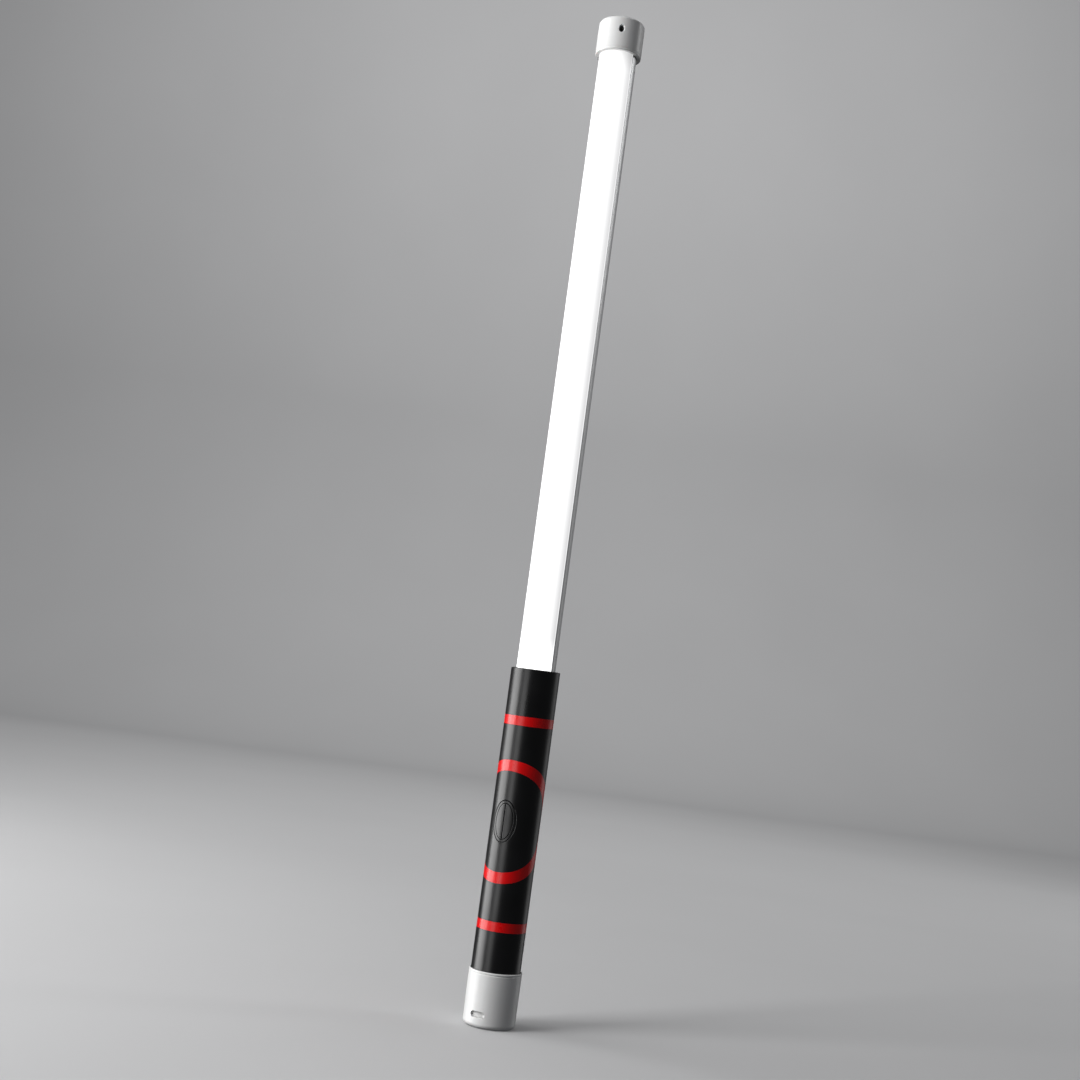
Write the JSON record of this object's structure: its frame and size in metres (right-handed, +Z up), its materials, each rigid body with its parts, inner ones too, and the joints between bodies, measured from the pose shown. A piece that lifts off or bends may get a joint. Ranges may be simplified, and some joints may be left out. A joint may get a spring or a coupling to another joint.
{
  "type": "led light tube",
  "caption": "Hand-held LED light tube: frosted lit front on an aluminium back, round battery grip with an oval two-key button, white end caps.",
  "frame": {"origin": "centre of the flat base that the tube stands on", "axes": "+Z up along the tube; the diffuser, the button and the charging opening face -Y; +X is to the right seen from the front"},
  "size_m": [0.0342, 0.0342, 0.6668],
  "materials": {
    "white_caps": "satin",
    "white_soft": "soft matte",
    "black_grip": "satin gloss",
    "black_key": "satin gloss",
    "red_stripe": "satin gloss",
    "frosted_front": "frosted, lit from inside",
    "aluminium_back": "fine satin",
    "plated_steel": "plated",
    "brass_insert": "turned",
    "green_board": "solder mask",
    "white_board": "white solder mask",
    "dark_component": "moulded",
    "grey_inner": "moulded",
    "cell": "shrink wrap",
    "red_wire": "soft",
    "black_wire": "soft"
  },
  "bodies": {
    "tube": {"bottom_cap": "white_caps", "tripod_insert": "brass_insert", "base_screw_left": "plated_steel", "base_screw_right": "plated_steel", "usb_board": "green_board", "charge_chip": "dark_component", "usb_socket": "plated_steel", "usb_tongue": "dark_component", "grip_shell": "black_grip", "stripe_lower": "red_stripe", "stripe_circle": "red_stripe", "stripe_upper": "red_stripe", "grip_collar": "black_grip", "button_bezel": "black_grip", "switch_left": "dark_component", "switch_right": "dark_component", "control_board": "green_board", "driver_chip": "dark_component", "inductor": "dark_component", "capacitor_lower": "plated_steel", "capacitor_upper": "plated_steel", "battery_carrier": "grey_inner", "battery_cell_lower": "cell", "battery_cell_upper": "cell", "contact_lower": "plated_steel", "contact_upper": "plated_steel", "wire_charge_plus": "red_wire", "wire_charge_minus": "black_wire", "wire_battery_plus": "red_wire", "wire_battery_minus": "black_wire", "wire_light_plus": "red_wire", "wire_light_minus": "black_wire", "tube_foot": "grey_inner", "foot_screw_left": "plated_steel", "foot_screw_right": "plated_steel", "heat_sink": "aluminium_back", "diffuser": "frosted_front", "led_board": "white_board", "top_plug": "grey_inner", "top_cap": "white_caps", "top_screw_left": "plated_steel", "top_screw_right": "plated_steel"},
    "cover": {"port_cover": "white_soft"},
    "left_key": {"key_left": "black_key", "plunger_left": "grey_inner"},
    "right_key": {"key_right": "black_key", "plunger_right": "grey_inner"}
  },
  "joints": [
    {"name": "left_key_press", "type": "slide", "parent": "tube", "child": "left_key", "axis": [0, 1, 0], "range_m": [0, 0.0006], "stiffness_N_per_m": 1500},
    {"name": "right_key_press", "type": "slide", "parent": "tube", "child": "right_key", "axis": [0, 1, 0], "range_m": [0, 0.0006], "stiffness_N_per_m": 1500},
    {"name": "cover_pull", "type": "slide", "parent": "tube", "child": "cover", "axis": [0, -1, 0], "range_m": [0, 0.012]}
  ]
}
